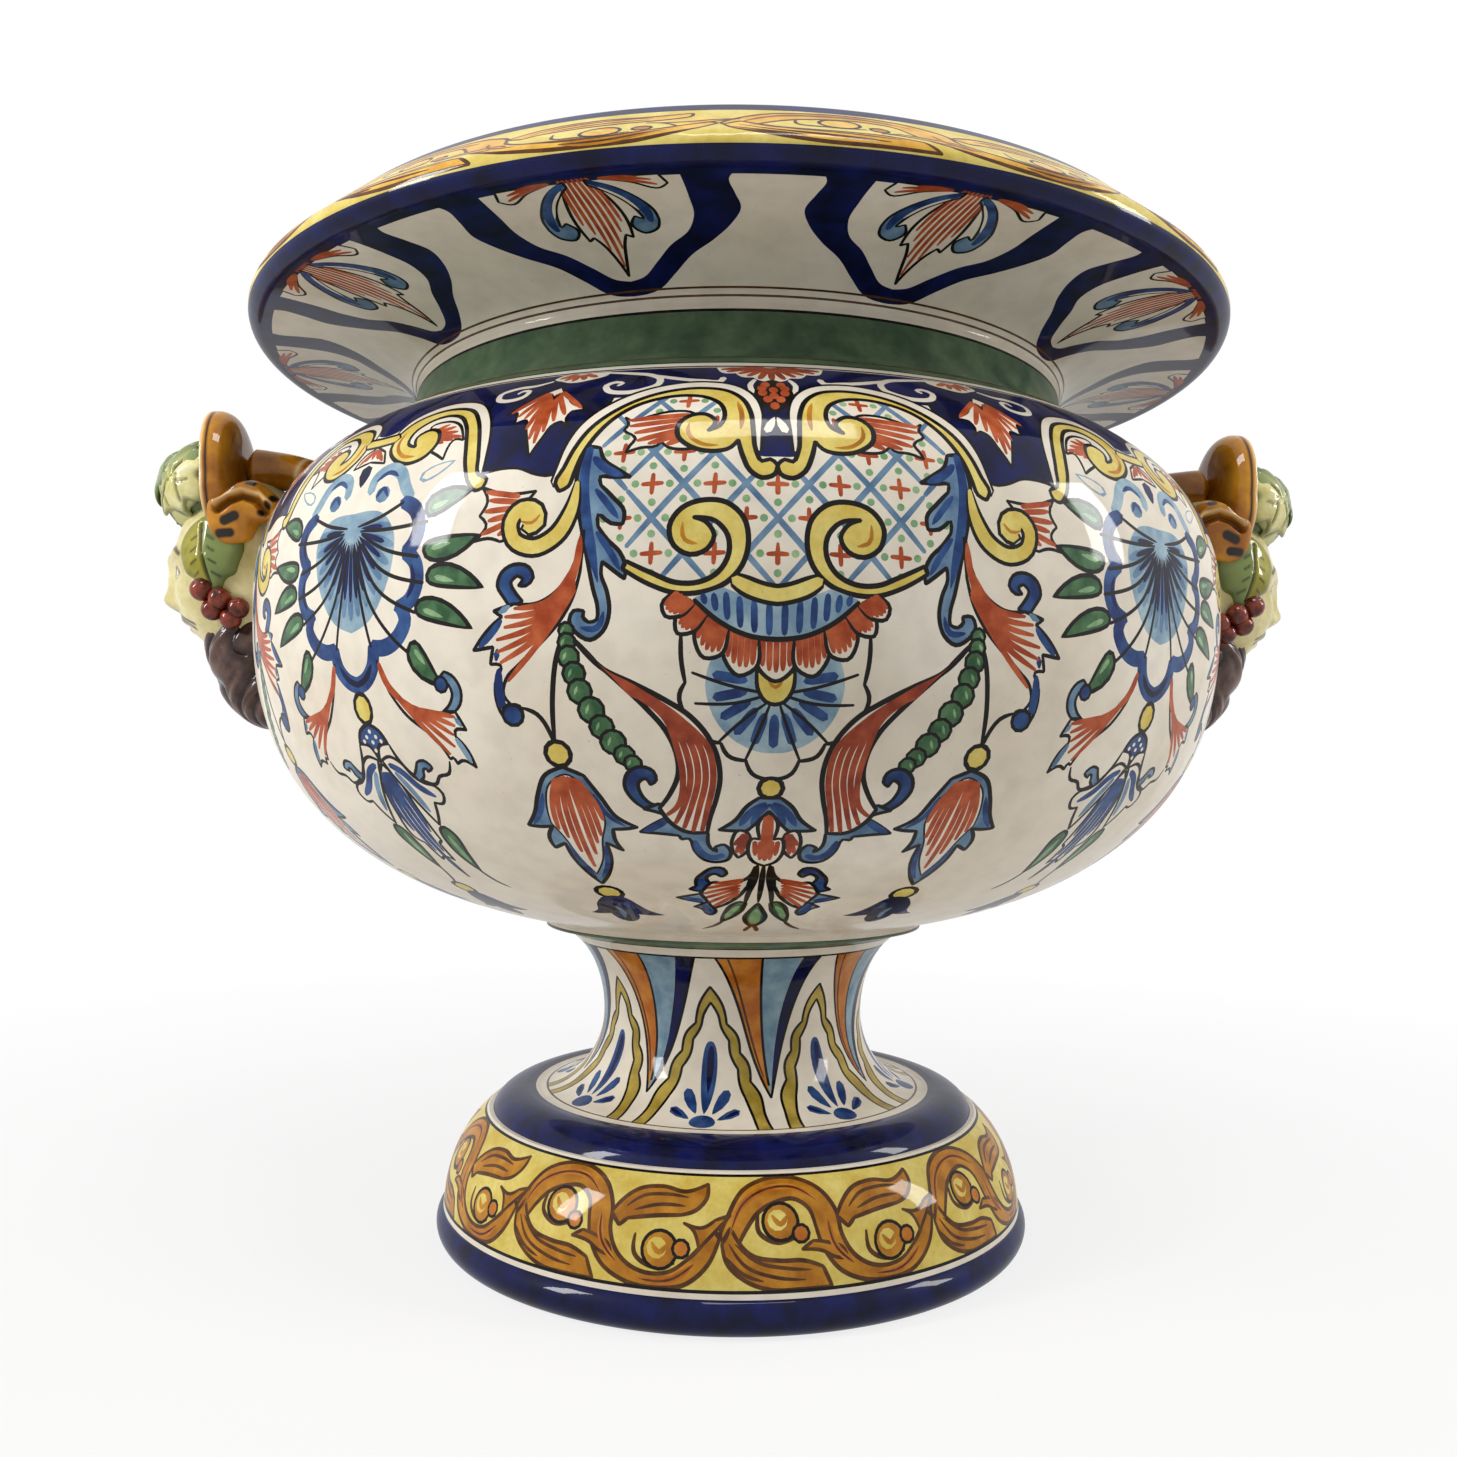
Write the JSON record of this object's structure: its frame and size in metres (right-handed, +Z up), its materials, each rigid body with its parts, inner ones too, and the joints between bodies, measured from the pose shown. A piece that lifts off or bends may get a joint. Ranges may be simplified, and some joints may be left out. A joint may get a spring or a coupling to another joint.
{
  "type": "footed campana vase",
  "caption": "Footed campana vase in painted tin-glazed earthenware with a flared rim, full belly, waisted pedestal foot and a bearded, vine-crowned mask handle on each side.",
  "frame": {"origin": "centre of the standing ring, on the floor", "axes": "+Z up the axis of the vase, +X through the two mask handles, the front faces -Y"},
  "size_m": [0.587, 0.4798, 0.4638],
  "materials": {
    "white_glaze": "gloss tin glaze, hand painted",
    "cream_glaze": "gloss glaze",
    "amber_glaze": "gloss glaze",
    "leaf_glaze": "gloss glaze",
    "beard_glaze": "gloss manganese glaze",
    "grape_glaze": "gloss glaze",
    "iron": "plain",
    "leather": "waxed",
    "cork": "cut cork"
  },
  "bodies": {
    "root": {"pedestal_foot": "white_glaze", "bowl": "white_glaze", "flared_rim": "white_glaze", "seat_gasket": "cork", "tie_rod": "iron", "upper_seal": "leather", "upper_washer": "iron", "upper_nut": "iron", "lower_seal": "leather", "lower_washer": "iron", "lower_nut": "iron", "right_mask_face": "cream_glaze", "right_mask_beard": "beard_glaze", "right_skin_hood": "amber_glaze", "right_vine_crown": "leaf_glaze", "right_handle_root": "amber_glaze", "right_front_temple_leaf": "leaf_glaze", "right_front_skin_curl": "amber_glaze", "right_front_grapes": "grape_glaze", "right_back_temple_leaf": "leaf_glaze", "right_back_skin_curl": "amber_glaze", "right_back_grapes": "grape_glaze", "left_mask_face": "cream_glaze", "left_mask_beard": "beard_glaze", "left_skin_hood": "amber_glaze", "left_vine_crown": "leaf_glaze", "left_handle_root": "amber_glaze", "left_front_temple_leaf": "leaf_glaze", "left_front_skin_curl": "amber_glaze", "left_front_grapes": "grape_glaze", "left_back_temple_leaf": "leaf_glaze", "left_back_skin_curl": "amber_glaze", "left_back_grapes": "grape_glaze"}
  },
  "joints": []
}
